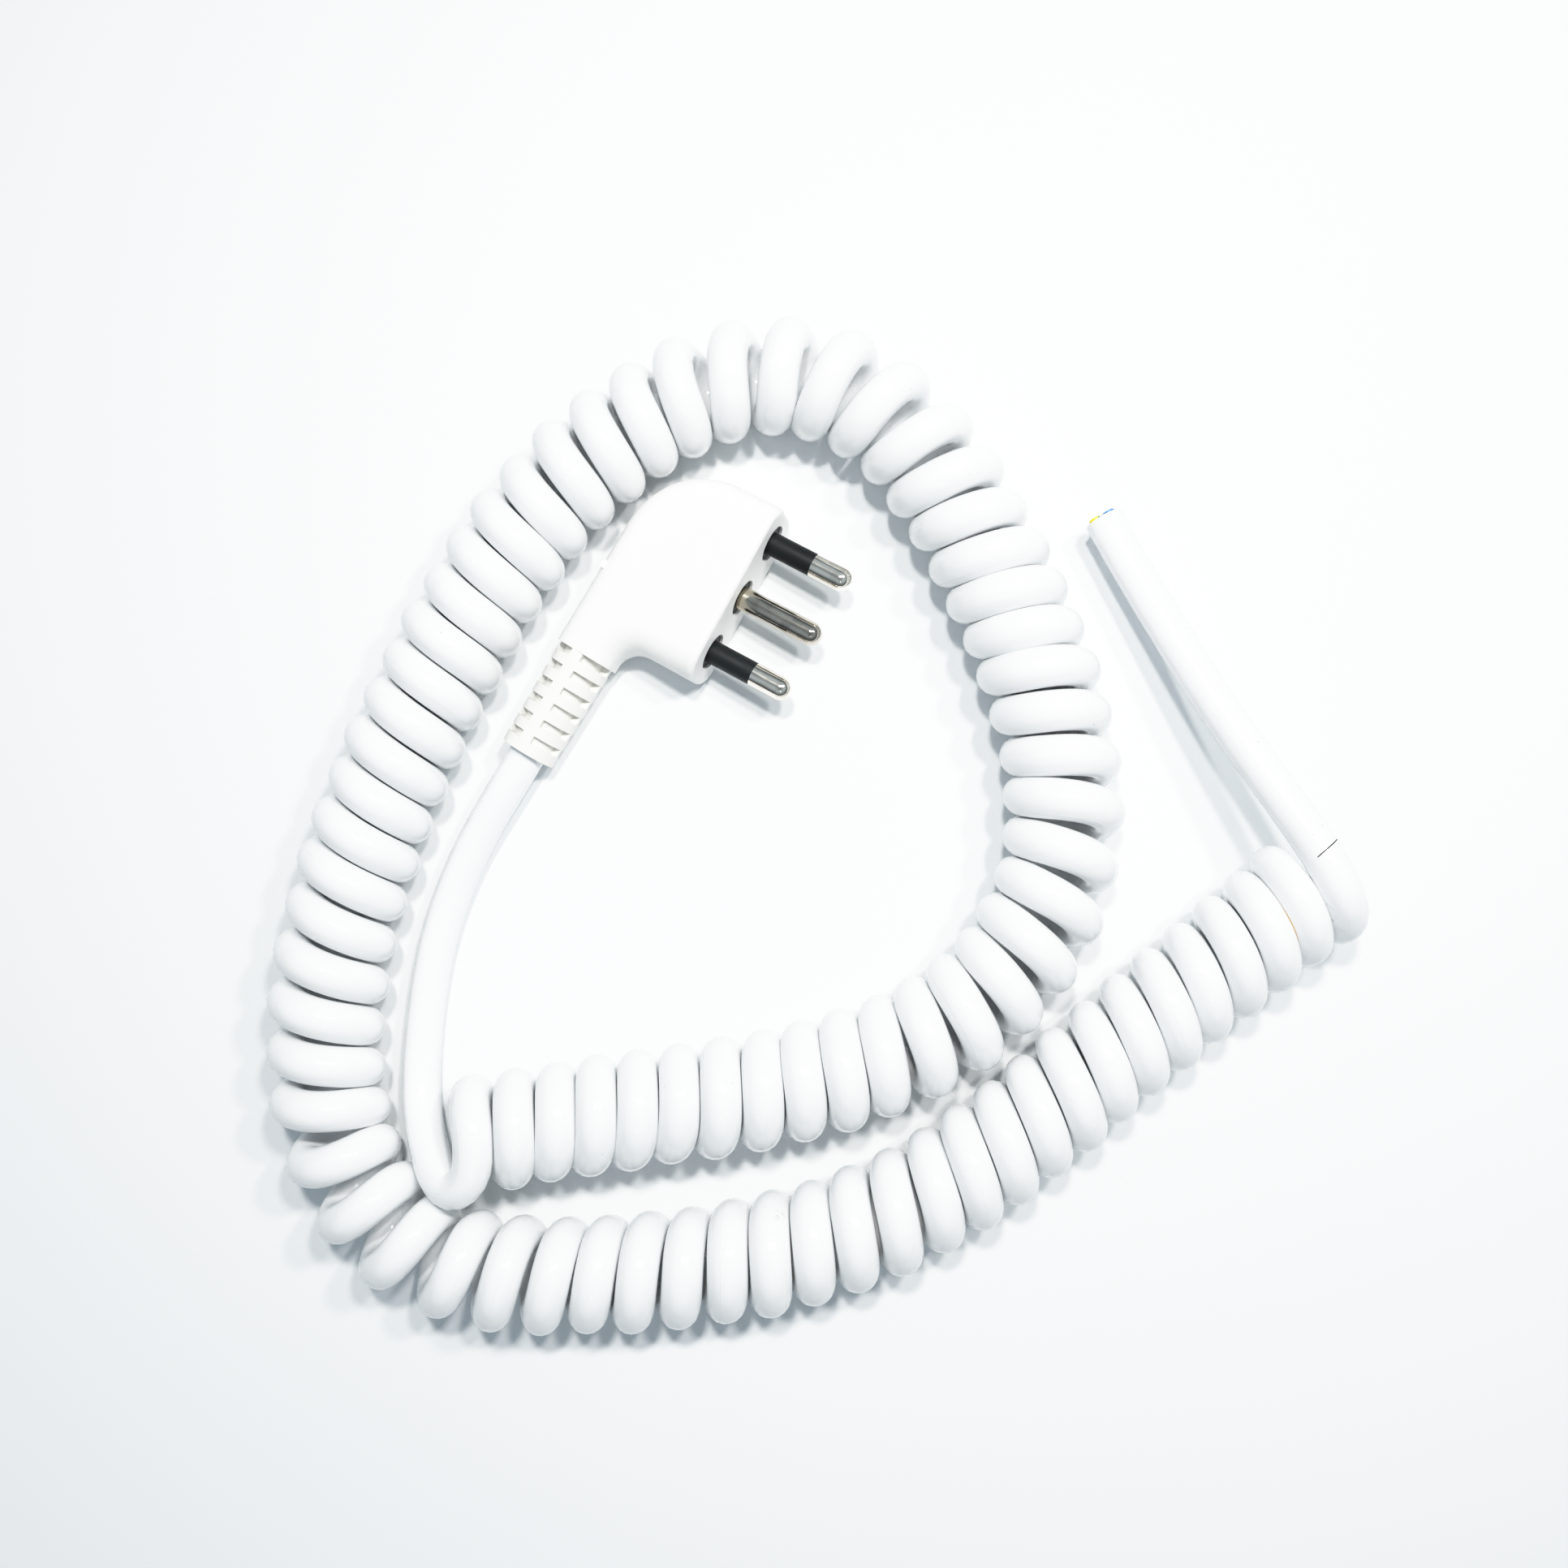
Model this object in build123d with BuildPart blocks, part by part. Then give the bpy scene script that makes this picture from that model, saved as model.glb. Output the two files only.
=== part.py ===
import os
from math import cos, pi, radians, sin, tan

from build123d import *

os.makedirs("parts", exist_ok=True)

# A curly mains cord with a moulded right-angle plug, lying on a table.
# The origin is on the plug's lower flank, +X is the way the pins point, +Y runs along the pin row
# away from the cord, and the table is the plane Z = 0. All sizes are in millimetres and degrees.

# Plug head, with the reach of its face from the middle pin towards the cord and away from it
face_near_reach = 20.5
face_far_reach = 19.9
face_thickness = 17.6
flank_draft = 5.5
rest_setback = 15.0
back_corner_radius = 18.0
flank_edge_radius = 5.2
face_rim_radius = 1.2

# Small round mark of the mould on the upper flank's back edge, proud of the rounding
mark_diameter = 1.8
mark_inset = 1.5
mark_row = -7.7
mark_drop = 0.8

# Neck between the head and the strain relief
neck_setback = 24.0
neck_width = 13.4
neck_drop = 6.0
neck_fillet_radius = 5.2
cord_lean = 2.5

# Slotted strain relief
relief_length = 24.2
relief_start_diameter = 12.7
relief_end_diameter = 12.0
relief_core_wall = 0.7
relief_root = 0.7
pocket_count = 6
pocket_pitch = 4.0
pocket_width = 1.75
spine_width = 2.6
parting_web = 1.1

# Pins and the black insert that carries them
pin_diameter = 5.0
pin_pitch = 13.0
pin_length = 19.0
sleeve_length = 10.0
pin_neck_diameter = 3.8
pin_flange_diameter = 6.2
pin_flange_width = 2.0
barrel_diameter = 4.0
barrel_length = 5.0
boss_diameter = 8.2
boss_recess = 0.6
bridge_setback = 4.0
bridge_thickness = 6.0
bridge_end_margin = 5.0
bridge_height = 10.6
bridge_corner_radius = 4.0

# Cores inside the cord
core_diameter = 2.7
wire_diameter = 1.5
core_ring_radius = 1.75
wire_grip = 4.5
sheath_grip = 6.0
core_bend_radius = 3.0
# Room for a core's bends beside its pin's row and behind its pin, in bend radii
bend_room_beside = 2.0
bend_room_behind = 1.4

# Cord and its coil
cord_diameter = 8.0
coil_diameter = 24.6

# Heights of the cord's axis above the table: on the table, and over the top of the coil
cord_radius = cord_diameter / 2
coil_radius = coil_diameter / 2
strand_top = coil_diameter - cord_radius

# Route of the coil's axis, from the plug's end to the tail, seen from above
coil_route = [
    (24.0, -121.5), (44.0, -105.5), (64.5, -90.0), (79.0, -77.0), (94.0, -59.0), (101.0, -37.0),
    (98.5, -15.0), (85.0, 7.0), (60.0, 28.5), (31.0, 46.0), (10.0, 48.5), (-6.0, 42.0),
    (-19.5, 28.0), (-31.0, 3.0), (-34.5, -24.0), (-34.0, -52.0), (-31.5, -81.0), (-24.0, -112.0),
    (-11.0, -136.0), (5.0, -149.5), (25.0, -153.0), (45.5, -145.0), (78.0, -122.5), (102.0, -98.5),
    (116.0, -72.0), (127.5, -39.5), (139.5, -9.5),
]

# Route of the lead, from the strain relief down to the table and along it to the coil
lead_route = [
    (-11.9, -72.5, 4.7), (-11.2, -83.5, 4.0), (-9.3, -94.0, 4.0), (-6.0, -104.5, 4.0),
    (-1.0, -114.5, 4.0), (4.5, -122.5, 4.0), (11.3, -126.0, 4.0),
]
lead_out_run = 10.0

# Route of the tail, from the coil's top down to its cut end, with the height of each point
tail_route = [
    (141.0, 5.0, 20.4), (136.5, 11.0, 19.4), (124.0, 18.2, 16.2), (108.0, 27.6, 11.6),
    (90.0, 39.6, 6.8), (73.0, 51.0, 4.0),
]
turn_in_run = 6.5

# Share of the shorter run beside a corner of the route that the corner's arc takes up
corner_share = 0.45

# Plane of the plug: x out of the pin face, y along the pin row, z across the flanks.
# It is tipped by the flank's draft, because the plug lies on that flank.
draft = radians(flank_draft)
half_face = face_thickness / 2
rest_half = half_face - rest_setback * tan(draft)
face_x = rest_setback * cos(draft) - rest_half * sin(draft)
face_z = half_face * cos(draft)
plug = Plane(
    origin=(face_x, 0, face_z),
    x_dir=(cos(draft), 0, sin(draft)),
    z_dir=(-sin(draft), 0, cos(draft)),
)
upper_flank = Plane(
    origin=plug.from_local_coords((0, 0, half_face)),
    z_dir=plug.z_dir * cos(draft) - plug.x_dir * sin(draft),
)

# Axis of the neck and strain relief, which leans back a little from the pin row
lean = radians(cord_lean)
shoulder = (-neck_setback, -face_near_reach - neck_drop)
out_of_neck = (-sin(lean), -cos(lean))
across_neck = (cos(lean), -sin(lean))


def on_neck(along, across, height=0.0):
    """Point of the plug plane, measured from the shoulder along and across the neck's axis."""
    u = shoulder[0] + along * out_of_neck[0] + across * across_neck[0]
    v = shoulder[1] + along * out_of_neck[1] + across * across_neck[1]
    return (u, v, height)


def on_neck_line(across, v):
    """Point where a line along the neck, set off to one side, reaches the given v."""
    start = on_neck(0, across)
    along = (v - start[1]) / out_of_neck[1]
    return (start[0] + along * out_of_neck[0], v)


relief_axis = plug.x_dir * out_of_neck[0] + plug.y_dir * out_of_neck[1]
relief = Plane(
    origin=plug.from_local_coords(on_neck(0, 0)),
    x_dir=relief_axis,
    z_dir=plug.z_dir,
)


def relief_section(along):
    """Plane across the strain relief, this far from the shoulder."""
    return Plane(
        origin=plug.from_local_coords(on_neck(along, 0)),
        x_dir=plug.z_dir,
        z_dir=relief_axis,
    )


def pin_plane(row):
    """Plane through one pin's axis: x out of the face, y outwards from the axis."""
    return Plane(
        origin=plug.from_local_coords((0, row, 0)),
        x_dir=plug.x_dir,
        z_dir=plug.z_dir,
    )


def pin_axis(row):
    return Axis(plug.from_local_coords((0, row, 0)), plug.x_dir)


# Places along a pin, from the face
pin_radius = pin_diameter / 2
flange_front = -bridge_setback - (bridge_thickness - pin_flange_width) / 2
flange_back = flange_front - pin_flange_width
bridge_back = -bridge_setback - bridge_thickness
barrel_end = bridge_back - barrel_length
wire_end = barrel_end + wire_grip


def make_pin(row, shank_start):
    """Turned pin with a domed tip, a thin neck, a flange in the insert and a barrel for the wire."""
    with BuildPart() as pin:
        with BuildSketch(pin_plane(row)):
            with BuildLine():
                Polyline(
                    (pin_length, 0),
                    (barrel_end, 0),
                    (barrel_end, barrel_diameter / 2),
                    (flange_back, barrel_diameter / 2),
                    (flange_back, pin_flange_diameter / 2),
                    (flange_front, pin_flange_diameter / 2),
                    (flange_front, pin_neck_diameter / 2),
                    (shank_start, pin_neck_diameter / 2),
                    (shank_start, pin_radius),
                    (pin_length - pin_radius, pin_radius),
                )
                RadiusArc((pin_length - pin_radius, pin_radius), (pin_length, 0), pin_radius)
            make_face()
        revolve(axis=pin_axis(row))
        with BuildSketch(pin_plane(row)):
            with BuildLine():
                Polyline(
                    (barrel_end, 0),
                    (wire_end, 0),
                    (wire_end, wire_diameter / 2),
                    (barrel_end, wire_diameter / 2),
                    close=True,
                )
            make_face()
        revolve(axis=pin_axis(row), mode=Mode.SUBTRACT)
    return pin


def make_sleeve(row):
    """Insulating sleeve round a live pin's neck, flush with its tip."""
    with BuildPart() as sleeve:
        with BuildSketch(pin_plane(row)):
            with BuildLine():
                Polyline(
                    (-boss_recess, pin_neck_diameter / 2),
                    (sleeve_length, pin_neck_diameter / 2),
                    (sleeve_length, pin_radius),
                    (-boss_recess, pin_radius),
                    close=True,
                )
            make_face()
        revolve(axis=pin_axis(row))
    return sleeve


# Pins: the earth pin is bare, the live pins are sleeved next to the face
line_row = pin_pitch
neutral_row = -pin_pitch
earth_pin = make_pin(0, -boss_recess)
line_pin = make_pin(line_row, sleeve_length)
neutral_pin = make_pin(neutral_row, sleeve_length)
line_pin_sleeve = make_sleeve(line_row)
neutral_pin_sleeve = make_sleeve(neutral_row)

# Insert that carries the pins: a plate with a boss round each pin
bridge_length = 2 * (pin_pitch + bridge_end_margin)
with BuildPart() as pin_bridge:
    plate_plane = Plane(
        origin=plug.from_local_coords((bridge_back, 0, 0)),
        x_dir=plug.y_dir,
        z_dir=plug.x_dir,
    )
    with BuildSketch(plate_plane):
        RectangleRounded(bridge_length, bridge_height, bridge_corner_radius)
    extrude(amount=bridge_thickness)
    with BuildSketch(plate_plane.offset(bridge_thickness)):
        with GridLocations(pin_pitch, 0, 3, 1):
            Circle(boss_diameter / 2)
    extrude(amount=bridge_setback - boss_recess)
    for pin in (line_pin, neutral_pin, earth_pin):
        add(pin.part, mode=Mode.SUBTRACT)


def core_path(across, height, row):
    """Route of one core, from the end of the sheath round to the back of its pin."""
    turn_in = on_neck_line(across, row - core_bend_radius * bend_room_beside)
    points = [
        on_neck(-sheath_grip, across, height),
        (turn_in[0], turn_in[1], height),
        (barrel_end - core_bend_radius * bend_room_behind, row, 0),
        (barrel_end, row, 0),
    ]
    return [plug.from_local_coords(point) for point in points]


def make_wire(points):
    """Copper conductor along a core, with its stripped end in the pin's barrel."""
    with BuildPart() as wire:
        with BuildLine() as path:
            FilletPolyline(*points, radius=core_bend_radius)
        with BuildSketch(Plane(origin=path.line @ 0, z_dir=path.line % 0)):
            Circle(wire_diameter / 2)
        sweep()
        with BuildSketch(Plane(origin=path.line @ 1, z_dir=path.line % 1)):
            Circle(wire_diameter / 2)
        extrude(amount=wire_grip)
    return wire


def make_core(points):
    """Insulated core, filled, from the sheath to the back of the pin."""
    with BuildPart() as core:
        with BuildLine() as path:
            FilletPolyline(*points, radius=core_bend_radius)
        with BuildSketch(Plane(origin=path.line @ 0, z_dir=path.line % 0)):
            Circle(core_diameter / 2)
        sweep()
    return core


def make_insulation(core, wire):
    """Insulation of a core, which is the core less its conductor."""
    with BuildPart() as insulation:
        add(core.part)
        add(wire.part, mode=Mode.SUBTRACT)
    return insulation


# Three cores leave the sheath side by side and part to their pins
side = core_ring_radius * cos(radians(60))
rise = core_ring_radius * sin(radians(60))
neutral_path = core_path(core_ring_radius, 0, neutral_row)
earth_path = core_path(-side, rise, 0)
line_path = core_path(-side, -rise, line_row)
neutral_wire = make_wire(neutral_path)
earth_wire = make_wire(earth_path)
line_wire = make_wire(line_path)
neutral_filled = make_core(neutral_path)
earth_filled = make_core(earth_path)
line_filled = make_core(line_path)
neutral_core = make_insulation(neutral_filled, neutral_wire)
earth_core = make_insulation(earth_filled, earth_wire)
line_core = make_insulation(line_filled, line_wire)


def corner_radii(points):
    """Radius of the arc at each corner of a cord's route, as large as its two runs allow."""
    radii = []
    for before, corner, after in zip(points, points[1:], points[2:]):
        arrive = Vector(corner) - Vector(before)
        leave = Vector(after) - Vector(corner)
        turn = radians(arrive.get_angle(leave))
        radii.append(corner_share * min(arrive.length, leave.length) / tan(turn / 2))
    return radii


def make_tube(label, points, radius):
    """Round tube along straight runs joined by tangent arcs."""
    radii = corner_radii(points)
    with BuildPart() as tube:
        with BuildLine() as path:
            FilletPolyline(*points, radius=radii)
        with BuildSketch(Plane(origin=path.line @ 0, z_dir=path.line % 0)):
            Circle(radius)
        sweep()
    length = sum(edge.length for edge in path.edges())
    share = tube.part.volume / (pi * radius**2 * length)
    print(label, "length", round(length, 1), "volume by section", round(share, 4))
    print(label, "radii", [round(value, 1) for value in radii])
    return tube


# Coil: one round tube of the coil's outer diameter, lying on the table
coil_points = [(x, y, coil_radius) for x, y in coil_route]
cord_coil = make_tube("cord_coil", coil_points, coil_radius)

# Lead: out of the strain relief, down to the table and into the foot of the coil's first turn
coil_start = Vector(coil_route[0][0], coil_route[0][1], cord_radius)
coil_heading = (Vector(coil_points[1]) - Vector(coil_points[0])).normalized()
relief_end = plug.from_local_coords(on_neck(relief_length, 0))
lead_points = (
    [relief_end, relief_end + relief_axis * lead_out_run]
    + lead_route
    + [coil_start - coil_heading * turn_in_run, coil_start]
)
lead_run = make_tube("cord_lead", lead_points, cord_radius)
with BuildPart() as cord_lead:
    add(lead_run.part)
    with BuildSketch(relief_section(-sheath_grip)):
        Circle(cord_radius)
    extrude(amount=sheath_grip + relief_length)

# Tail: off the top of the coil's last turn and down to the cut end on the table
coil_end = Vector(coil_route[-1][0], coil_route[-1][1], strand_top)
end_heading = (Vector(coil_points[-1]) - Vector(coil_points[-2])).normalized()
tail_points = [coil_end, coil_end + end_heading * turn_in_run] + tail_route
cord_tail = make_tube("cord_tail", tail_points, cord_radius)

# Plug body: one soft moulding of head, neck and slotted strain relief round everything inside it
back_corner = on_neck_line(-neck_width / 2, face_far_reach)
front_corner = on_neck_line(neck_width / 2, -face_near_reach)
edge_slack = 0.001


def is_flank_rim(edge):
    """True for the flanks' long edges, and not for those at the pin face or the shoulder."""
    u, v, _ = plug.to_local_coords(edge.center())
    along = (v - shoulder[1]) * out_of_neck[1] + (u - shoulder[0]) * out_of_neck[0]
    return u < -edge_slack and along < -edge_slack


with BuildPart() as plug_body:
    with BuildSketch(plug):
        with BuildLine():
            Polyline(
                (0, -face_near_reach),
                (0, face_far_reach),
                back_corner,
                on_neck(0, -neck_width / 2)[:2],
                on_neck(0, neck_width / 2)[:2],
                front_corner,
                close=True,
            )
        make_face()
        fillet(vertices().sort_by_distance((*back_corner, 0))[0], back_corner_radius)
        fillet(vertices().sort_by_distance((*front_corner, 0))[0], neck_fillet_radius)
    extrude(amount=half_face, both=True)
    split(bisect_by=Plane.XY, keep=Keep.TOP)
    split(bisect_by=upper_flank, keep=Keep.BOTTOM)
    flanks = faces().sort_by(Axis.Z)
    rims = (flanks[0].edges() + flanks[-1].edges()).filter_by(is_flank_rim)
    fillet(rims, flank_edge_radius)
    fillet(faces().sort_by(Axis(plug.origin, plug.x_dir))[-1].edges(), face_rim_radius)

    # Mark of the mould, up to a little under the flank's plane
    mark_place = on_neck_line(mark_inset - neck_width / 2, mark_row)
    flank_height = half_face + mark_place[0] * tan(draft)
    with BuildSketch(plug):
        with Locations(mark_place):
            Circle(mark_diameter / 2)
    extrude(amount=flank_height - mark_drop)

    # Strain relief: a slightly tapered round sleeve on the cord
    with BuildSketch(relief):
        with BuildLine():
            Polyline(
                (-relief_root, 0),
                (-relief_root, relief_start_diameter / 2),
                (0, relief_start_diameter / 2),
                (relief_length, relief_end_diameter / 2),
                (relief_length, 0),
                close=True,
            )
        make_face()
    revolve(axis=Axis(relief.origin, relief_axis))

    # Pockets on both sides of a spine, leaving a web at the parting line and a wall round the cord.
    # Their cut reaches past the relief's surface by its radius.
    pocket_reach = relief_start_diameter
    for station in range(pocket_count):
        with BuildSketch(relief_section(station * pocket_pitch)):
            Circle(pocket_reach)
            Rectangle(2 * pocket_reach, spine_width, mode=Mode.SUBTRACT)
            Rectangle(parting_web, 2 * pocket_reach, mode=Mode.SUBTRACT)
            Circle(cord_radius + relief_core_wall, mode=Mode.SUBTRACT)
        extrude(amount=pocket_width, mode=Mode.SUBTRACT)

    # Room for the sheath, the cores, the insert and the pins
    with BuildSketch(relief_section(-sheath_grip)):
        Circle(cord_radius)
    extrude(amount=sheath_grip + relief_length, mode=Mode.SUBTRACT)
    for inside in (neutral_wire, earth_wire, line_wire, neutral_filled, earth_filled, line_filled):
        add(inside.part, mode=Mode.SUBTRACT)
    for inside in (neutral_pin, earth_pin, line_pin, pin_bridge):
        add(inside.part, mode=Mode.SUBTRACT)
    boss_plane = Plane(
        origin=plug.from_local_coords((-boss_recess, 0, 0)),
        x_dir=plug.y_dir,
        z_dir=plug.x_dir,
    )
    with BuildSketch(boss_plane):
        with GridLocations(pin_pitch, 0, 3, 1):
            Circle(boss_diameter / 2)
    extrude(amount=boss_recess, mode=Mode.SUBTRACT)

plug_body.part.label = "plug_body"
pin_bridge.part.label = "pin_bridge"
line_pin.part.label = "line_pin"
neutral_pin.part.label = "neutral_pin"
earth_pin.part.label = "earth_pin"
line_pin_sleeve.part.label = "line_pin_sleeve"
neutral_pin_sleeve.part.label = "neutral_pin_sleeve"
line_core.part.label = "line_core"
neutral_core.part.label = "neutral_core"
earth_core.part.label = "earth_core"
line_wire.part.label = "line_wire"
neutral_wire.part.label = "neutral_wire"
earth_wire.part.label = "earth_wire"
cord_lead.part.label = "cord_lead"
cord_coil.part.label = "cord_coil"
cord_tail.part.label = "cord_tail"

export_step(plug_body.part, "parts/plug_body.step")
export_step(pin_bridge.part, "parts/pin_bridge.step")
export_step(line_pin.part, "parts/line_pin.step")
export_step(neutral_pin.part, "parts/neutral_pin.step")
export_step(earth_pin.part, "parts/earth_pin.step")
export_step(line_pin_sleeve.part, "parts/line_pin_sleeve.step")
export_step(neutral_pin_sleeve.part, "parts/neutral_pin_sleeve.step")
export_step(line_core.part, "parts/line_core.step")
export_step(neutral_core.part, "parts/neutral_core.step")
export_step(earth_core.part, "parts/earth_core.step")
export_step(line_wire.part, "parts/line_wire.step")
export_step(neutral_wire.part, "parts/neutral_wire.step")
export_step(earth_wire.part, "parts/earth_wire.step")
export_step(cord_lead.part, "parts/cord_lead.step")
export_step(cord_coil.part, "parts/cord_coil.step")
export_step(cord_tail.part, "parts/cord_tail.step")
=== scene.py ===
import math
from bisect import bisect_right

import bmesh
import bpy
from mathutils import Matrix, Vector
from mathutils.bvhtree import BVHTree


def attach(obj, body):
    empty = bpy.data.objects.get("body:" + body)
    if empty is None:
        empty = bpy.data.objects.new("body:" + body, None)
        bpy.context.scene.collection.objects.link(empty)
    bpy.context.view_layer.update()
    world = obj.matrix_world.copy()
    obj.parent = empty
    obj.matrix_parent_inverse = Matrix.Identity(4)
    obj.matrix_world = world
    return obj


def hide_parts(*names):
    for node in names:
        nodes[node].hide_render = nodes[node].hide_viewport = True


MM = 0.001

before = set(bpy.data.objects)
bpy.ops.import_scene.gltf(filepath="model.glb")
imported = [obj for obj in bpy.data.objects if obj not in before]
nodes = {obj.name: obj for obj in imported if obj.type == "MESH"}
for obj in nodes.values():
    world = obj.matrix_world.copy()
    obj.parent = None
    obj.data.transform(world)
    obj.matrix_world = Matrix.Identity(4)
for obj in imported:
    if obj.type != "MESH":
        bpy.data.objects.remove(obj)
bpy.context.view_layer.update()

# Cord sizes, in millimetres
CORD_RADIUS = 4.0
COIL_RADIUS = 12.3
# How many times as thick the cord is in the turns: pressed a little wider, and thinner in the last ones
STRAND_SWELLS = [(0, 1.045), (62, 1.045), (68, 0.99), (74, 0.95), (76, 0.96), (77, 1.0)]
STRAND_RADIUS = CORD_RADIUS * STRAND_SWELLS[0][1]
HELIX_RADIUS = COIL_RADIUS - STRAND_RADIUS
HELIX_STEPS = 14

# Route of the coil's axis, from the plug's end to the tail, in millimetres
COIL_ROUTE = [
    (24.0, -121.5), (44.0, -105.5), (64.5, -90.0), (79.0, -77.0), (94.0, -59.0), (101.0, -37.0),
    (98.5, -15.0), (85.0, 7.0), (60.0, 28.5), (31.0, 46.0), (10.0, 48.5), (-6.0, 42.0),
    (-19.5, 28.0), (-31.0, 3.0), (-34.5, -24.0), (-34.0, -52.0), (-31.5, -81.0), (-24.0, -112.0),
    (-10.7, -135.6), (5.3, -148.7), (24.8, -152.1), (45.2, -144.6), (78.0, -122.5), (102.0, -98.5),
    (116.0, -72.0), (127.5, -39.5), (139.5, -9.5),
]
# The turns start a little before the tube's end, and the last one stands a little past it
COIL_FIRST = (19.5, -125.0)
COIL_LAST = (145.4, 6.1)

# Where some of the turns lie along the coil's axis, in millimetres: wider pitch in the bends
TURN_PLACES = [
    (0, 2.5), (2, 19.5), (5, 45.0), (8, 70.5), (10, 87.5), (14, 125.5), (17, 155.0), (20, 182.0),
    (23, 207.0), (25, 225.0), (26, 235.0), (28, 257.0), (31, 289.5), (35, 327.0), (40, 370.5), (45, 415.0),
    (47, 434.0), (50, 463.0), (52, 485.5), (54, 509.0), (56, 529.0), (58, 547.0), (60, 565.5), (63, 592.0),
    (65, 610.5), (70, 653.0), (75, 694.0), (77, 709.5),
]
# How far the turns lean along the coil, in millimetres: ahead on its right side, behind on its left
TURN_LEANS = [
    (0, 1.4), (1, 0.4), (2, 0.0), (5, 0.0), (8, 0.2), (10, 0.0), (13, 0.3), (16, 0.1), (18, 0.5),
    (20, -0.2), (24, -0.1), (26, 0.7), (28, 0.9), (29, 1.1), (30, 0.5), (32, 0.6), (36, 0.2), (39, 0.0),
    (44, -0.5), (48, -0.3), (50, 0.1), (51.5, 1.8), (53, 0.7), (56, -0.4), (60, 0.0), (63, -0.3),
    (65, -1.0), (70, -1.5), (74, -1.3), (77, -0.8),
]
# How far their tops tip ahead of their sides, in millimetres
TURN_TIPS = [
    (0, 2.7), (5, 2.5), (7, 1.1), (9, 0.7), (14, 0.6), (18, 0.4), (22, 0.0), (25, -0.4), (28, -0.5),
    (30, -0.1), (32, 0.4), (38, 0.4), (40, 0.0), (49, 0.1), (52, 0.7), (70, 0.7), (77, 0.6),
]
# How much larger or smaller than the rest some of the turns are, in millimetres
TURN_SIZES = [(0, 0.0), (48, 0.0), (51, -0.5), (57, -0.5), (61, 0.0), (73, 0.0), (75, 0.3), (77, 0.8)]
# How far the turns' size swings about that, in millimetres, and by how many radians from turn to turn
TURN_SWING = 0.15
TURN_SWING_RATE = 2.3

# Route of the lead: inside the strain relief, out on the table, and up into the first turn
LEAD_ROUTE = [
    (-10.0, -34.7, 6.4), (-10.7, -50.7, 6.36), (-11.2, -60.7, 6.3),
    (-11.9, -72.5, 4.7), (-11.2, -83.5, 4.0), (-9.3, -94.0, 4.0), (-6.0, -104.5, 4.0),
    (-1.4, -115.5, 4.0), (3.0, -124.0, 4.6), (7.6, -129.4, 7.0), (13.4, -133.0, 12.2),
    (18.4, -135.6, 16.2), (23.0, -135.4, 18.6), (24.6, -129.8, 20.2),
]

# Route of the tail, from the last turn's top down to its cut end
TAIL_ROUTE = [
    (139.5, 8.8, 21.4), (131.0, 13.8, 18.9), (118.3, 20.9, 15.6), (103.7, 29.8, 12.2),
    (90.7, 38.2, 9.8), (81.2, 44.3, 8.6), (72.4, 50.2, 8.0),
]

# Cut end of the cord: cores laid in a ring, each with a stranded conductor
CORE_RADIUS = 1.35
CORE_RING = 1.75
CORE_PROUD = {"line": 0.85, "neutral": 0.65, "earth": 0.75}
CORE_ANGLES = {"line": 288.0, "neutral": 48.0, "earth": 168.0}
CORE_SUNK = 0.5
CORE_SIDES = 32
WIRE_RADIUS = 0.23
WIRE_SPACING = 2.05 * WIRE_RADIUS
WIRE_PROUD = 0.12
WIRE_SUNK = 0.3
WIRE_SIDES = 12
# Broken edges there: their width as a share of the rod's radius, and how near its end an edge has to lie
RIM_SHARE = 0.15
RIM_DEPTH = 0.01
# Angle in degrees from which an edge looks sharp
SHARP_ANGLE = 35.0

# Old cut across the tail, seen as a dark line: where it is and how high at least, from where to where it
# runs round the cord in degrees, and its slant
NICK_PLACE = (139.3, 8.4)
NICK_LOWEST = 16.0
NICK_START = -28.0
NICK_END = 58.0
NICK_SLANT = 1.3
NICK_RADIUS = 0.12
NICK_STEPS = 8

# Brown stains in the creases after these turns: from and to how many steps of the turn past its top
STAINS = [(75, -3, 2), (76, -3, -2)]
STAIN_LIFT = 0.85
STAIN_RADIUS = 0.16

# Grey scuffs where the cord lies and rubs: the middle of each and its radius
SCUFFS = [
    (28.0, -134.5, 11.0, 3.2), (36.5, -129.5, 9.5, 2.6), (45.0, -122.5, 9.0, 2.4), (20.5, -138.5, 9.0, 2.2),
    (41.5, 29.5, 17.0, 2.6), (82.0, -106.0, 19.0, 2.4), (52.5, -151.0, 11.0, 2.6),
    (-35.0, -141.0, 12.0, 3.0), (-24.0, -130.0, 18.0, 2.2), (133.0, -27.0, 8.0, 2.2),
    (146.1, 0.1, 22.0, 2.4), (148.4, -0.8, 20.8, 2.6), (150.3, -1.5, 19.0, 2.8), (151.7, -2.2, 15.5, 2.6),
]
# Faint seam along the cord: its place and its spread, as shares of the way round
SEAM_SIDE = 0.31
SEAM_WIDTH = 0.006

# Fine line that the mould left across the plug's upper flank, laid on it from above
MOULD_LINE = [
    (3.15, 19.75), (3.12, 19.2), (3.08, 18.5), (3.02, 17.2), (2.93, 15.5), (2.72, 11.5), (2.38, 5.0),
    (1.97, -2.5), (1.47, -11.7),
]
MOULD_LINE_RADIUS = 0.07
MOULD_LINE_SUNK = 0.035
ABOVE_PLUG = 100.0

# Plug's own places and directions, for its pins and its strain relief, in millimetres and degrees
FLANK_DRAFT = 5.5
PIN_FACE = (14.226, 0.0, 8.76)
RELIEF_START = (-9.66, -26.5, 6.46)
RELIEF_AXIS = (-0.0434, -0.9990, -0.0042)

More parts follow.
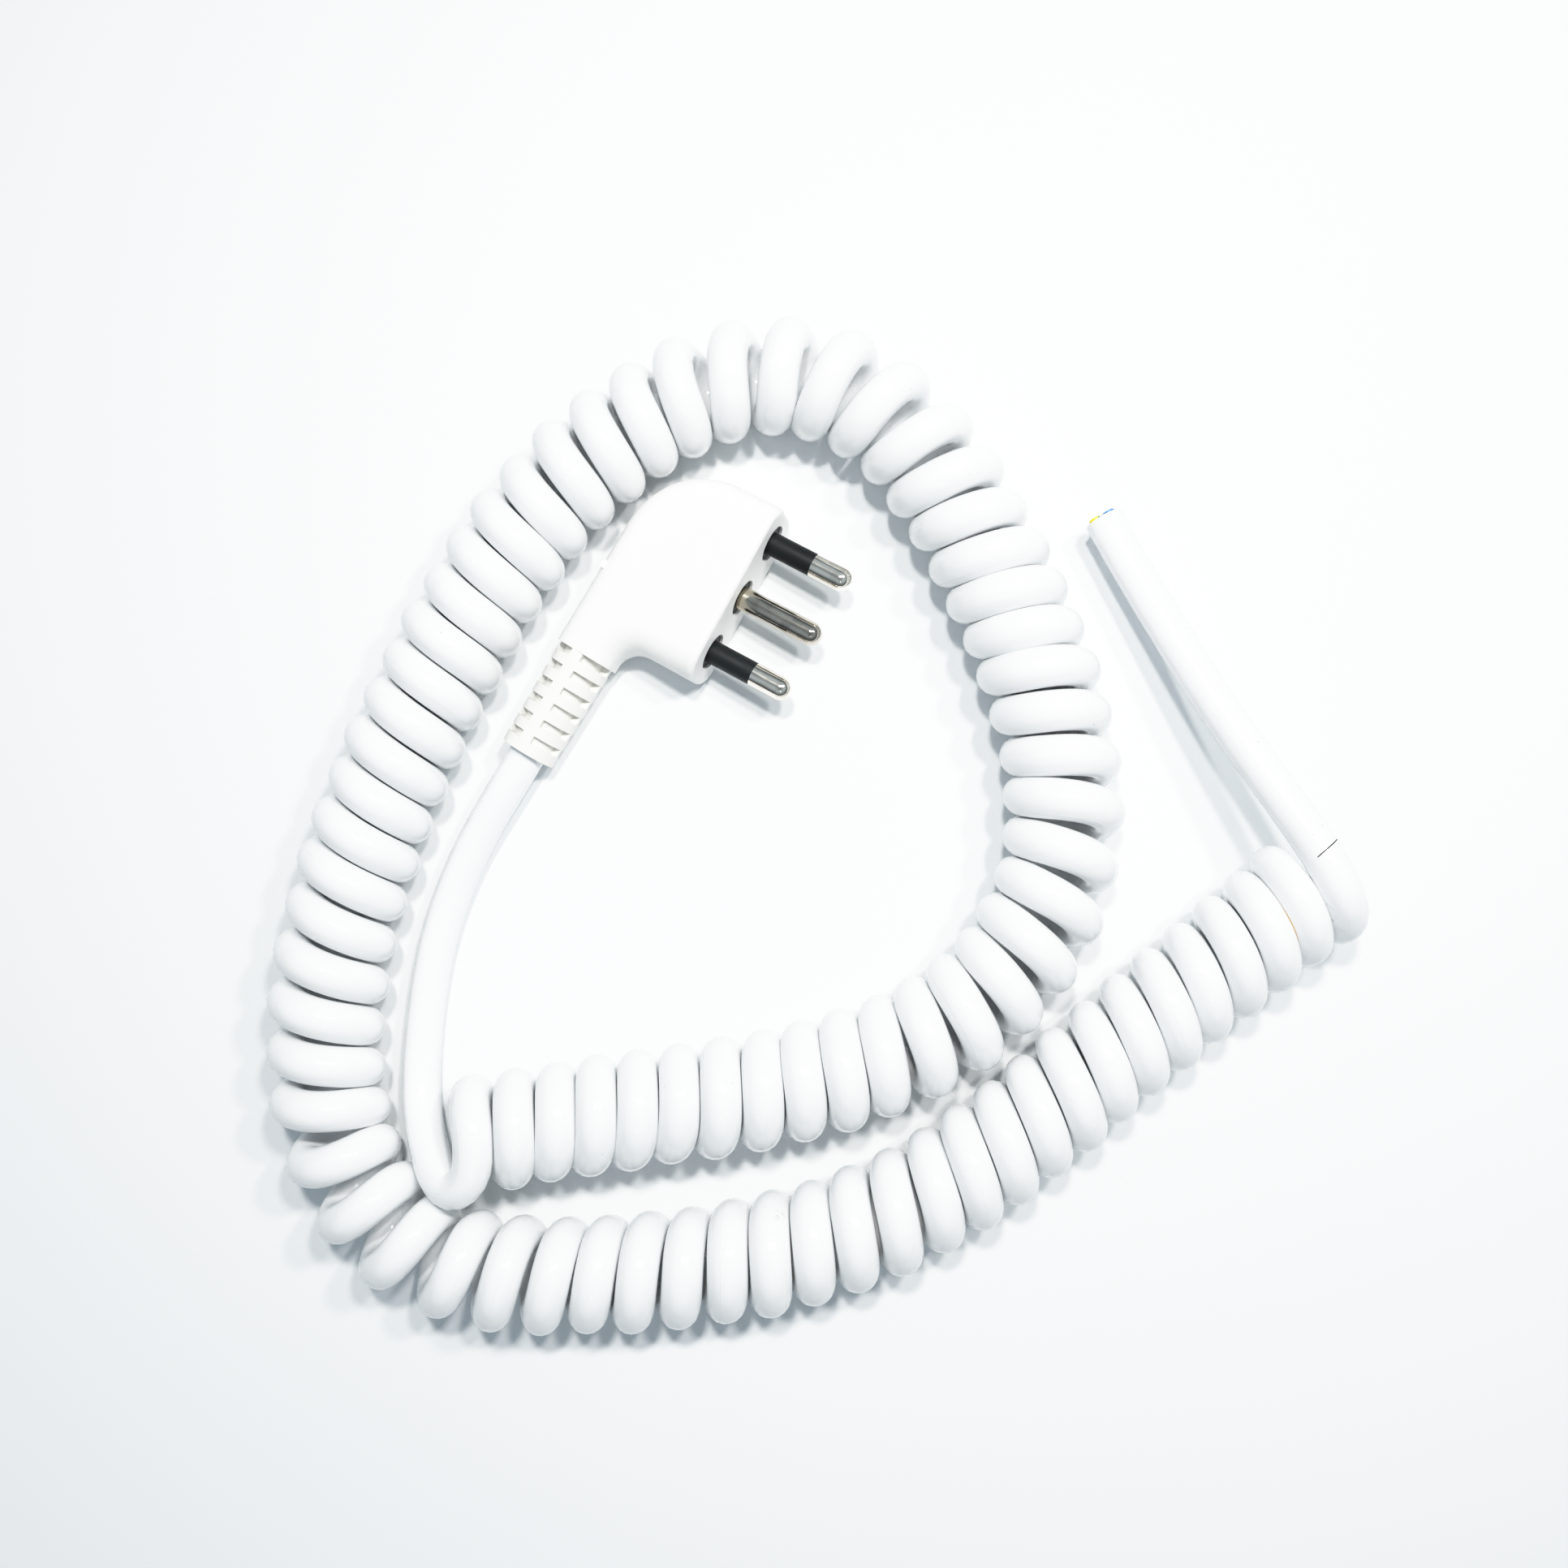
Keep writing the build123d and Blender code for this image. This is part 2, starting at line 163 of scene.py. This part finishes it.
# Camera of the photograph: its focal length in the photograph's pixels, and its place in millimetres
PHOTO_SIDE = 1932
FOCAL_PIXELS = 1700
SENSOR_WIDTH = 36.0
CAMERA_PLACE = (63.5, -29.6, 296.4)
CAMERA_AXIS = (-0.0787, -0.0018, -0.9969)
CAMERA_UP = (-0.4827, 0.8758, 0.0)

# Studio, in metres: three small lamps and a weak one across from them, placed from the middle of the table
# by how far right and up in the picture and how high they stand, and aimed a little left of it and below
STUDIO_MIDDLE = (0.06, -0.05, 0.0)
FLOOR_SIZE = 4.0
LAMP_AIM = (-0.10, -0.05)
LAMP_WARM = (1.0, 0.98, 0.95)
LAMP_WHITE = (1.0, 1.0, 1.0)
LAMPS = [
    ("far", (0.0, 0.18, 0.48), 0.04, 1.38, LAMP_WARM),
    ("far_right", (0.135, 0.18, 0.48), 0.04, 1.08, LAMP_WARM),
    ("right", (0.27, 0.195, 0.48), 0.04, 0.92, LAMP_WARM),
    ("near", (0.06, -0.55, 0.80), 0.05, 0.15, LAMP_WHITE),
]
# Room round the table: dark low down, bright high up and dimmer overhead, a little blue
ROOM_STRENGTH = 0.49
ROOM_LOW = (0.10, 0.11, 0.12)
ROOM_SHADES = [(0.25, 0.14), (0.45, 0.45), (0.70, 1.0), (0.88, 0.95)]
ROOM_TINT = (0.78, 0.91, 1.0)
ROOM_TOP = 0.98
ROOM_OVERHEAD = (0.31, 0.36, 0.40)
# Tone of the picture: scene brightness and the brightness shown for it, with soft whites
WHITE_LEVEL = 1.6
TONES = [(0.2, 0.2), (0.4, 0.43), (0.6, 0.65), (0.8, 0.815), (1.0, 0.915), (1.25, 0.975)]


def add_object(name, data):
    piece = bpy.data.objects.new(name, data)
    bpy.context.scene.collection.objects.link(piece)
    return piece


def nurbs(name, points, steps):
    """Curve of one open NURBS spline: control points in millimetres, with steps from each to the next."""
    data = bpy.data.curves.new(name, "CURVE")
    data.dimensions = "3D"
    data.resolution_u = steps
    spline = data.splines.new("NURBS")
    spline.points.add(len(points) - 1)
    for point, place in zip(spline.points, points):
        point.co = (place[0] * MM, place[1] * MM, place[2] * MM, 1.0)
    spline.order_u = 3
    spline.use_endpoint_u = True
    return add_object(name, data)


def tube(name, points, radius, steps=6, roundness=2):
    """Round tube along a NURBS spline, closed at its ends, with its radius in millimetres."""
    piece = nurbs(name, points, steps)
    piece.data.bevel_depth = radius * MM
    piece.data.bevel_resolution = roundness
    piece.data.use_fill_caps = True
    return piece


def read_line(points):
    """Points along the NURBS spline of a route, in millimetres, with the distance to each."""
    guide = nurbs("guide", points, steps=24)
    bpy.context.view_layer.update()
    mesh = bpy.data.meshes.new_from_object(guide)
    line = [vertex.co / MM for vertex in mesh.vertices]
    bpy.data.meshes.remove(mesh)
    data = guide.data
    bpy.data.objects.remove(guide)
    bpy.data.curves.remove(data)
    reach = [0.0]
    for before, after in zip(line, line[1:]):
        reach.append(reach[-1] + (after - before).length)
    return line, reach


def along(line, reach, distance):
    """Place and heading at a distance along a line of points."""
    index = min(max(bisect_right(reach, distance) - 1, 0), len(line) - 2)
    step = line[index + 1] - line[index]
    share = (distance - reach[index]) / (reach[index + 1] - reach[index])
    return line[index] + step * share, step.normalized()


def at_turn(table, turn):
    """Value of a table of turns at one turn, on the straight line between its neighbours."""
    for (low, start), (high, end) in zip(table, table[1:]):
        if turn <= high:
            return start + (end - start) * (turn - low) / (high - low)
    return table[-1][1]


def helix_points():
    """Points of the coil's turns round its axis, from the top of the first to the top of the last."""
    axis = [(x, y, 0.0) for x, y in [COIL_FIRST] + COIL_ROUTE + [COIL_LAST]]
    line, reach = read_line(axis)
    up = Vector((0, 0, 1))
    shrink = math.cos(math.pi / HELIX_STEPS)
    points = []
    for step in range(TURN_PLACES[-1][0] * HELIX_STEPS + 1):
        turn = step / HELIX_STEPS
        place, heading = along(line, reach, at_turn(TURN_PLACES, turn))
        right = heading.cross(up).normalized()
        angle = math.tau * turn + math.pi / 2
        size = HELIX_RADIUS + at_turn(TURN_SIZES, turn) + TURN_SWING * math.sin(TURN_SWING_RATE * turn)
        radius = size * 2 / (1 + shrink)
        ahead = at_turn(TURN_LEANS, turn) * math.cos(angle)
        ahead += at_turn(TURN_TIPS, turn) * (math.sin(angle) - 1)
        spoke = right * math.cos(angle) + up * math.sin(angle)
        points.append(place + heading * ahead + up * (size + STRAND_RADIUS) + spoke * radius)
    return points


def new_material(name):
    """Material with a Principled shader, its node tree and the object's own coordinates."""
    material = bpy.data.materials.new(name)
    material.use_nodes = True
    tree = material.node_tree
    place = tree.nodes.new("ShaderNodeTexCoord").outputs["Object"]
    return material, tree, tree.nodes["Principled BSDF"], place


def set_input(tree, socket, value):
    if isinstance(value, bpy.types.NodeSocket):
        tree.links.new(value, socket)
    else:
        socket.default_value = value


def math_node(tree, operation, first, second=0.0):
    node = tree.nodes.new("ShaderNodeMath")
    node.operation = operation
    node.use_clamp = operation in ("ADD", "MULTIPLY")
    set_input(tree, node.inputs[0], first)
    set_input(tree, node.inputs[1], second)
    return node.outputs[0]


def vector_node(tree, operation, first, second, output="Vector"):
    node = tree.nodes.new("ShaderNodeVectorMath")
    node.operation = operation
    set_input(tree, node.inputs[0], first)
    set_input(tree, node.inputs[1], second)
    return node.outputs[output]


def noise(tree, place, scale, detail=3.0):
    """Noise from 0 to 1 with this many features to the metre."""
    node = tree.nodes.new("ShaderNodeTexNoise")
    tree.links.new(place, node.inputs["Vector"])
    node.inputs["Scale"].default_value = scale
    node.inputs["Detail"].default_value = detail
    return node.outputs["Fac"]


def spread(tree, value, low, high, to_low=0.0, to_high=1.0):
    """Value from low to high, brought smoothly to another range and held at its ends."""
    node = tree.nodes.new("ShaderNodeMapRange")
    node.interpolation_type = "SMOOTHSTEP"
    tree.links.new(value, node.inputs["Value"])
    for key, number in zip(("From Min", "From Max", "To Min", "To Max"), (low, high, to_low, to_high)):
        node.inputs[key].default_value = number
    return node.outputs["Result"]


def blend_colours(tree, share, first, second):
    node = tree.nodes.new("ShaderNodeMix")
    node.data_type = "RGBA"
    set_input(tree, node.inputs["Factor"], share)
    for socket, colour in ((node.inputs[6], first), (node.inputs[7], second)):
        set_input(tree, socket, (*colour, 1.0) if isinstance(colour, tuple) else colour)
    return node.outputs[2]


def coat(tree, shader, colour, rough):
    """Links a colour and a roughness to the shader."""
    tree.links.new(colour, shader.inputs["Base Color"])
    tree.links.new(rough, shader.inputs["Roughness"])


def bump(tree, shader, height, depth):
    """Relief of this depth in metres on the shader's surface."""
    node = tree.nodes.new("ShaderNodeBump")
    node.inputs["Distance"].default_value = depth
    tree.links.new(height, node.inputs["Height"])
    tree.links.new(node.outputs["Normal"], shader.inputs["Normal"])


def spots(tree, place, marks):
    """Share from 0 to 1 near any of these marks, each a middle and a radius in millimetres."""
    share = None
    for x, y, z, radius in marks:
        apart = vector_node(tree, "DISTANCE", place, (x * MM, y * MM, z * MM), "Value")
        near = spread(tree, apart, 0.0, radius * MM, 1.0, 0.0)
        share = near if share is None else math_node(tree, "MAXIMUM", share, near)
    return share


def plastic(name, light, dark, rough, grain, depth, shine=0.5):
    """Plain plastic: a light and a dark shade, uneven gloss and a fine grain of some depth in metres."""
    material, tree, shader, place = new_material(name)
    cloud = spread(tree, noise(tree, place, 70.0), 0.35, 0.65)
    uneven = spread(tree, noise(tree, place, 240.0), 0.3, 0.7, rough - 0.06, rough + 0.06)
    coat(tree, shader, blend_colours(tree, cloud, dark, light), uneven)
    shader.inputs["Specular IOR Level"].default_value = shine
    bump(tree, shader, noise(tree, place, grain), depth)
    return material


def sheath_material():
    """Glossy white sheath with a faint seam along it, specks and scuffs."""
    material, tree, shader, place = new_material("sheath_gloss")
    cloud = spread(tree, noise(tree, place, 30.0, 1.0), 0.2, 0.8)
    colour = blend_colours(tree, cloud, (0.862, 0.878, 0.892), (0.878, 0.892, 0.902))
    cell = tree.nodes.new("ShaderNodeTexVoronoi")
    cell.inputs["Scale"].default_value = 190.0
    tree.links.new(place, cell.inputs["Vector"])
    speck = spread(tree, cell.outputs["Distance"], 0.02, 0.05, 1.0, 0.0)
    speck = math_node(tree, "MULTIPLY", speck, spread(tree, noise(tree, place, 25.0), 0.5, 0.62))
    colour = blend_colours(tree, math_node(tree, "MULTIPLY", speck, 0.7), colour, (0.20, 0.18, 0.16))
    smear = spread(tree, noise(tree, place, 900.0, 5.0), 0.46, 0.66)
    scuff = math_node(tree, "MULTIPLY", spots(tree, place, SCUFFS), smear)
    colour = blend_colours(tree, math_node(tree, "MULTIPLY", scuff, 0.65), colour, (0.30, 0.295, 0.29))
    rough = spread(tree, noise(tree, place, 60.0, 1.0), 0.2, 0.8, 0.10, 0.15)
    coat(tree, shader, colour, math_node(tree, "ADD", rough, math_node(tree, "MULTIPLY", scuff, 0.3)))
    wrap = tree.nodes.new("ShaderNodeSeparateXYZ")
    tree.links.new(tree.nodes["Texture Coordinate"].outputs["UV"], wrap.inputs["Vector"])
    aside = math_node(tree, "ABSOLUTE", math_node(tree, "SUBTRACT", wrap.outputs["Y"], SEAM_SIDE))
    seam = spread(tree, aside, 0.0, SEAM_WIDTH, 1.0, 0.0)
    relief = math_node(tree, "ADD", math_node(tree, "MULTIPLY", noise(tree, place, 700.0), 0.05), seam)
    relief = math_node(tree, "SUBTRACT", relief, scuff)
    bump(tree, shader, relief, 0.00004)
    shader.inputs["Subsurface Weight"].default_value = 0.08
    shader.inputs["Subsurface Radius"].default_value = (1.0, 0.92, 0.85)
    shader.inputs["Subsurface Scale"].default_value = 0.003
    return material


def moulding_material():
    """Satin warm white of the plug, a little darker in the strain relief's pockets, where shade is painted.
    """
    material, tree, shader, place = new_material("plug_satin")
    cloud = spread(tree, noise(tree, place, 45.0), 0.3, 0.7)
    colour = blend_colours(tree, cloud, (0.878, 0.873, 0.858), (0.904, 0.899, 0.889))
    offset = vector_node(tree, "SUBTRACT", place, tuple(value * MM for value in RELIEF_START))
    reach = vector_node(tree, "DOT_PRODUCT", offset, RELIEF_AXIS, "Value")
    apart = vector_node(tree, "CROSS_PRODUCT", offset, RELIEF_AXIS)
    radius = vector_node(tree, "LENGTH", apart, (0.0, 0.0, 0.0), "Value")
    on_relief = spread(tree, reach, -0.0008, 0.0004)
    colour = blend_colours(tree, math_node(tree, "MULTIPLY", on_relief, 0.35), colour, (0.80, 0.775, 0.70))
    # Painted shade: the pocket floors near the relief's core are darkened in patches towards a brownish
    # grey.
    pocket_shade = math_node(tree, "MULTIPLY", spread(tree, radius, 0.0047, 0.0060, 1.0, 0.0), on_relief)
    patchy = spread(tree, noise(tree, place, 500.0), 0.3, 0.7, 0.05, 0.18)
    pocket_shade = math_node(tree, "MULTIPLY", pocket_shade, patchy)
    colour = blend_colours(tree, pocket_shade, colour, (0.45, 0.42, 0.34))
    coat(tree, shader, colour, spread(tree, noise(tree, place, 300.0), 0.3, 0.7, 0.42, 0.54))
    bump(tree, shader, noise(tree, place, 2600.0), 0.00001)
    return material


def pin_material(name, light, dark):
    """Polished nickel, drawn lengthwise, a little golden next to the face."""
    material, tree, shader, place = new_material(name)
    turned = tree.nodes.new("ShaderNodeMapping")
    turned.vector_type = "TEXTURE"
    turned.inputs["Location"].default_value = tuple(value * MM for value in PIN_FACE)
    turned.inputs["Rotation"].default_value = (0.0, -math.radians(FLANK_DRAFT), 0.0)
    tree.links.new(place, turned.inputs["Vector"])
    lengthwise = turned.outputs["Vector"]
    drawn = vector_node(tree, "MULTIPLY", lengthwise, (0.08, 1.0, 1.0))
    streak = noise(tree, drawn, 2600.0, 4.0)
    out = tree.nodes.new("ShaderNodeSeparateXYZ")
    tree.links.new(lengthwise, out.inputs["Vector"])
    base = spread(tree, out.outputs["X"], 0.0005, 0.0040, 1.0, 0.0)
    dull = spread(tree, noise(tree, place, 320.0, 4.0), 0.40, 0.75)
    colour = blend_colours(tree, dull, light, dark)
    colour = blend_colours(tree, math_node(tree, "MULTIPLY", base, 0.6), colour, (0.66, 0.60, 0.46))
    coat(tree, shader, colour, spread(tree, streak, 0.3, 0.75, 0.09, 0.16))
    shader.inputs["Metallic"].default_value = 1.0
    bump(tree, shader, streak, 0.00001)
    return material


def copper_material():
    """Bare copper, dull in places."""
    material, tree, shader, place = new_material("copper_bare")
    dull = spread(tree, noise(tree, place, 900.0), 0.35, 0.7)
    colour = blend_colours(tree, dull, (0.80, 0.43, 0.25), (0.45, 0.22, 0.13))
    coat(tree, shader, colour, spread(tree, dull, 0.0, 1.0, 0.25, 0.45))
    shader.inputs["Metallic"].default_value = 1.0
    bump(tree, shader, noise(tree, place, 3000.0), 0.00001)
    return material


def earth_material():
    """Green insulation with a yellow stripe."""
    material, tree, shader, place = new_material("earth_stripes")
    bands = tree.nodes.new("ShaderNodeTexWave")
    bands.bands_direction = "DIAGONAL"
    bands.inputs["Scale"].default_value = 110.0
    bands.inputs["Distortion"].default_value = 0.4
    bands.inputs["Phase Offset"].default_value = 0.2
    tree.links.new(place, bands.inputs["Vector"])
    stripe = spread(tree, bands.outputs["Fac"], 0.22, 0.32)
    colour = blend_colours(tree, stripe, (0.05, 0.30, 0.06), (0.85, 0.62, 0.03))
    coat(tree, shader, colour, spread(tree, noise(tree, place, 300.0), 0.3, 0.7, 0.35, 0.5))
    bump(tree, shader, noise(tree, place, 2500.0), 0.00001)
    return material


def paper_material():
    """Matt pale paper of the floor."""
    material, tree, shader, place = new_material("floor_paper")
    colour = blend_colours(tree, noise(tree, place, 9.0), (0.850, 0.876, 0.892), (0.868, 0.888, 0.900))
    tree.links.new(colour, shader.inputs["Base Color"])
    shader.inputs["Roughness"].default_value = 0.75
    shader.inputs["Specular IOR Level"].default_value = 0.2
    return material


sheath = sheath_material()
moulding = moulding_material()
nickel = pin_material("pin_nickel", (0.97, 0.91, 0.82), (0.76, 0.71, 0.62))
# Painted shade: the earth pin gets a darker copy of the same nickel, so that it looks darker than the other
# pins.
shaded_nickel = pin_material("earth_pin_shaded_nickel", (0.58, 0.54, 0.475), (0.39, 0.365, 0.32))
copper = copper_material()
insert_black = plastic(
    "insert_black", (0.016, 0.016, 0.017), (0.010, 0.010, 0.011), rough=0.55, grain=2500.0, depth=0.00002
)
sleeve_black = plastic(
    "sleeve_black", (0.010, 0.0130, 0.0142), (0.0065, 0.0083, 0.0090),
    rough=0.50, grain=1800.0, depth=0.00001, shine=0.25,
)
line_brown = plastic(
    "line_brown", (0.13, 0.055, 0.022), (0.09, 0.038, 0.016), rough=0.42, grain=2500.0, depth=0.00001
)
neutral_blue = plastic(
    "neutral_blue", (0.10, 0.26, 0.62), (0.07, 0.20, 0.52), rough=0.42, grain=2500.0, depth=0.00001
)
insulation = {"line": line_brown, "neutral": neutral_blue, "earth": earth_material()}
stain_ochre = plastic(
    "stain_ochre", (0.50, 0.30, 0.08), (0.26, 0.17, 0.07), rough=0.6, grain=2000.0, depth=0.00002
)
nick_dark = plastic(
    "nick_dark", (0.035, 0.028, 0.022), (0.02, 0.016, 0.013), rough=0.7, grain=2000.0, depth=0.00002
)


def dress(piece, material):
    piece.data.materials.clear()
    piece.data.materials.append(material)


dress(nodes["plug_body"], moulding)
dress(nodes["pin_bridge"], insert_black)
for role in ("line", "neutral", "earth"):
    dress(nodes[role + "_pin"], shaded_nickel if role == "earth" else nickel)
    dress(nodes[role + "_core"], insulation[role])
    dress(nodes[role + "_wire"], copper)
for role in ("line", "neutral"):
    dress(nodes[role + "_pin_sleeve"], sleeve_black)
for part in ("cord_lead", "cord_coil", "cord_tail"):
    dress(nodes[part], sheath)


def carry(piece, material):
    """Sets a finished piece on the part and its material."""
    dress(piece, material)
    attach(piece, "root")
    return piece


def mesh_piece(name, form):
    data = bpy.data.meshes.new(name)
    form.to_mesh(data)
    form.free()
    for face in data.polygons:
        face.use_smooth = True
    data.set_sharp_from_angle(angle=math.radians(SHARP_ANGLE))
    return add_object(name, data)


# Cord: lead, coil and tail on one spline
turn_points = [tuple(point) for point in helix_points()]
cord_points = LEAD_ROUTE + turn_points + TAIL_ROUTE
cord = tube("cord", cord_points, CORD_RADIUS, steps=3, roundness=8)
for step, point in enumerate(cord.data.splines[0].points[len(LEAD_ROUTE):-len(TAIL_ROUTE)]):
    point.radius = at_turn(STRAND_SWELLS, step / HELIX_STEPS)
carry(cord, sheath)
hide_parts("cord_lead", "cord_coil", "cord_tail")
cord_line, cord_reach = read_line(cord_points)

# Cut end: three cores and their strands in the cut face
cut_place, cut_heading = along(cord_line, cord_reach, cord_reach[-1])
cut_side = cut_heading.cross(Vector((0, 0, 1))).normalized()
cut_up = cut_side.cross(cut_heading)


def on_cut(radius, degrees, proud):
    """Place in the plane of the cut, round its middle, standing proud of it."""
    angle = math.radians(degrees)
    spot = cut_place + (cut_side * math.cos(angle) + cut_up * math.sin(angle)) * radius
    return spot + cut_heading * proud


def rod(form, middle, radius, depth, segments):
    """Short round rod along the cord's heading with a broken outer edge, sunk into the cut."""
    turn = Matrix((cut_side, cut_up, cut_heading)).transposed().to_4x4()
    made = bmesh.ops.create_cone(
        form, cap_ends=True, segments=segments, radius1=radius * MM, radius2=radius * MM, depth=depth * MM,
        matrix=Matrix.Translation((middle - cut_heading * depth / 2) * MM) @ turn,
    )
    rim = [
        edge for edge in {edge for vertex in made["verts"] for edge in vertex.link_edges}
        if all((vertex.co / MM - middle).dot(cut_heading) > -RIM_DEPTH for vertex in edge.verts)
    ]
    bmesh.ops.bevel(form, geom=rim, offset=RIM_SHARE * radius * MM, segments=2, affect="EDGES")


strands = bmesh.new()
for role, degrees in CORE_ANGLES.items():
    core = bmesh.new()
    proud = CORE_PROUD[role]
    rod(core, on_cut(CORE_RING, degrees, proud), CORE_RADIUS, proud + CORE_SUNK, CORE_SIDES)
    carry(mesh_piece("cut_core_" + role, core), insulation[role])
    middle = on_cut(CORE_RING, degrees, proud + WIRE_PROUD)
    rod(strands, middle, WIRE_RADIUS, WIRE_PROUD + WIRE_SUNK, WIRE_SIDES)
    for sixth in range(6):
        angle = math.radians(60 * sixth + degrees)
        aside = (cut_side * math.cos(angle) + cut_up * math.sin(angle)) * WIRE_SPACING
        rod(strands, middle + aside, WIRE_RADIUS, WIRE_PROUD + WIRE_SUNK, WIRE_SIDES)
carry(mesh_piece("cut_strands", strands), copper)

# Old cut across the tail: a thin dark arc on the sheath
nick_index = min(
    (index for index in range(len(cord_line) - 1) if cord_line[index].z >= NICK_LOWEST),
    key=lambda index: (cord_line[index].xy - Vector(NICK_PLACE)).length,
)
nick_middle = cord_line[nick_index]
nick_heading = (cord_line[nick_index + 1] - nick_middle).normalized()
nick_side = nick_heading.cross(Vector((0, 0, 1))).normalized()
nick_up = nick_side.cross(nick_heading)
nick_points = []
for step in range(NICK_STEPS + 1):
    share = step / NICK_STEPS
    angle = math.radians(NICK_START + (NICK_END - NICK_START) * share)
    spoke = nick_side * math.sin(angle) + nick_up * math.cos(angle)
    nick_points.append(nick_middle + spoke * CORD_RADIUS - nick_heading * NICK_SLANT * (1 - share))
nick = tube("sheath_nick", nick_points, NICK_RADIUS)
carry(nick, nick_dark)

# Stains: thin beads that fill the creases between the last turns
for turn, first, last in STAINS:
    crease = []
    for step in range(turn * HELIX_STEPS + first, turn * HELIX_STEPS + last + 1):
        middle = (Vector(turn_points[step]) + Vector(turn_points[step + HELIX_STEPS])) / 2
        angle = math.tau * step / HELIX_STEPS
        crease.append(middle + Vector((0, 0, math.cos(angle))) * STAIN_LIFT)
    stain = tube(f"sheath_stain_{turn}", crease, STAIN_RADIUS)
    carry(stain, stain_ochre)

# Mould line: a fine bead laid on the plug's upper flank
plug_mesh = nodes["plug_body"].data
plug_surface = BVHTree.FromPolygons(
    [vertex.co for vertex in plug_mesh.vertices], [face.vertices[:] for face in plug_mesh.polygons]
)
line_points = []
for x, y in MOULD_LINE:
    spot, normal, *_ = plug_surface.ray_cast(Vector((x, y, ABOVE_PLUG)) * MM, Vector((0, 0, -1)))
    line_points.append(spot / MM - normal * MOULD_LINE_SUNK)
mould_line = tube("plug_mould_line", line_points, MOULD_LINE_RADIUS, steps=8)
carry(mould_line, moulding)

# Floor
bpy.ops.mesh.primitive_plane_add(size=FLOOR_SIZE, location=STUDIO_MIDDLE)
floor = bpy.context.object
floor.name = "floor"
dress(floor, paper_material())

# Camera
camera_data = bpy.data.cameras.new("camera")
camera_data.sensor_fit = "HORIZONTAL"
camera_data.sensor_width = SENSOR_WIDTH
camera_data.lens = SENSOR_WIDTH * FOCAL_PIXELS / PHOTO_SIDE
camera_data.clip_start = 0.01
camera = add_object("camera", camera_data)
look = Vector(CAMERA_AXIS).normalized()
side = look.cross(Vector(CAMERA_UP)).normalized()
top = side.cross(look)
camera.matrix_world = Matrix.Translation(Vector(CAMERA_PLACE) * MM) @ Matrix(
    (side, top, -look)
).transposed().to_4x4()
bpy.context.scene.camera = camera

# Light of the room
world = bpy.data.worlds.new("studio")
bpy.context.scene.world = world
world.use_nodes = True
room = world.node_tree
room_axes = room.nodes.new("ShaderNodeSeparateXYZ")
room.links.new(room.nodes.new("ShaderNodeTexCoord").outputs["Generated"], room_axes.inputs["Vector"])
room_ramp = room.nodes.new("ShaderNodeValToRGB")
room.links.new(room_axes.outputs["Z"], room_ramp.inputs["Fac"])
heights = room_ramp.color_ramp.elements
heights[0].position = 0.0
heights[0].color = (*ROOM_LOW, 1.0)
heights[1].position = ROOM_TOP
heights[1].color = (*ROOM_OVERHEAD, 1.0)
for height, shade in ROOM_SHADES:
    heights.new(height).color = (*(shade * tint for tint in ROOM_TINT), 1.0)
room.links.new(room_ramp.outputs["Color"], room.nodes["Background"].inputs["Color"])
room.nodes["Background"].inputs["Strength"].default_value = ROOM_STRENGTH

# Lamps
aim = Vector(STUDIO_MIDDLE) + side * LAMP_AIM[0] + Vector(CAMERA_UP) * LAMP_AIM[1]
for name, (right, up, high), size, power, colour in LAMPS:
    lamp_data = bpy.data.lights.new(name, "AREA")
    lamp_data.shape = "SQUARE"
    lamp_data.size = size
    lamp_data.energy = power
    lamp_data.color = colour
    lamp = add_object(name, lamp_data)
    lamp.location = Vector(STUDIO_MIDDLE) + side * right + Vector(CAMERA_UP) * up + Vector((0, 0, high))
    lamp.rotation_euler = (aim - lamp.location).to_track_quat("-Z", "Y").to_euler()

# Tone
view = bpy.context.scene.view_settings
view.view_transform = "Standard"
view.use_curve_mapping = True
view.curve_mapping.white_level = (WHITE_LEVEL,) * 3
for bright, shown in TONES:
    view.curve_mapping.curves[3].points.new(bright / WHITE_LEVEL, shown)
view.curve_mapping.update()
